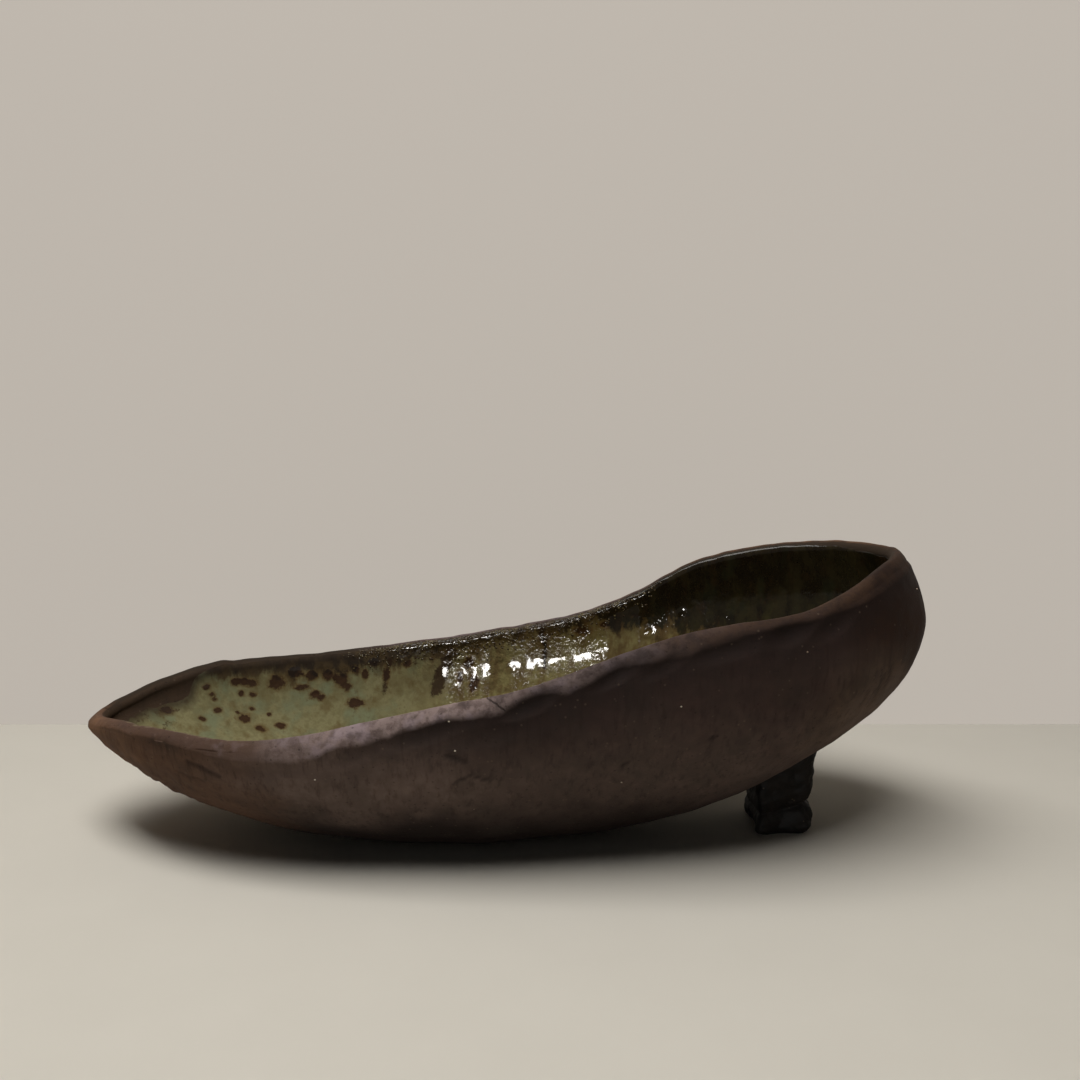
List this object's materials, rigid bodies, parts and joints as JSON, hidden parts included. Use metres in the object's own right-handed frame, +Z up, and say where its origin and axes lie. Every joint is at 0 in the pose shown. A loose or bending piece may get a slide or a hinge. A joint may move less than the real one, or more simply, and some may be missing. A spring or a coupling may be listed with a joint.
{
  "type": "ikebana suiban",
  "caption": "Long boat-shaped ikebana basin of bare dark stoneware, with a low pointed tip, a raised rounded end, a glossy mottled glaze inside and a rough clay foot.",
  "frame": {"origin": "middle of the flat patch under the belly, on the plane of the table", "axes": "+X along the basin from the low pointed tip to the raised round end, +Y to the far long side, +Z up"},
  "size_m": [0.3855, 0.1575, 0.1315],
  "materials": {
    "bare_stoneware": "matte",
    "mottled_glaze": "glossy",
    "foot_clay": "matte"
  },
  "bodies": {
    "root": {"clay_body": "bare_stoneware", "glaze_lining": "mottled_glaze", "foot": "foot_clay"}
  },
  "joints": []
}
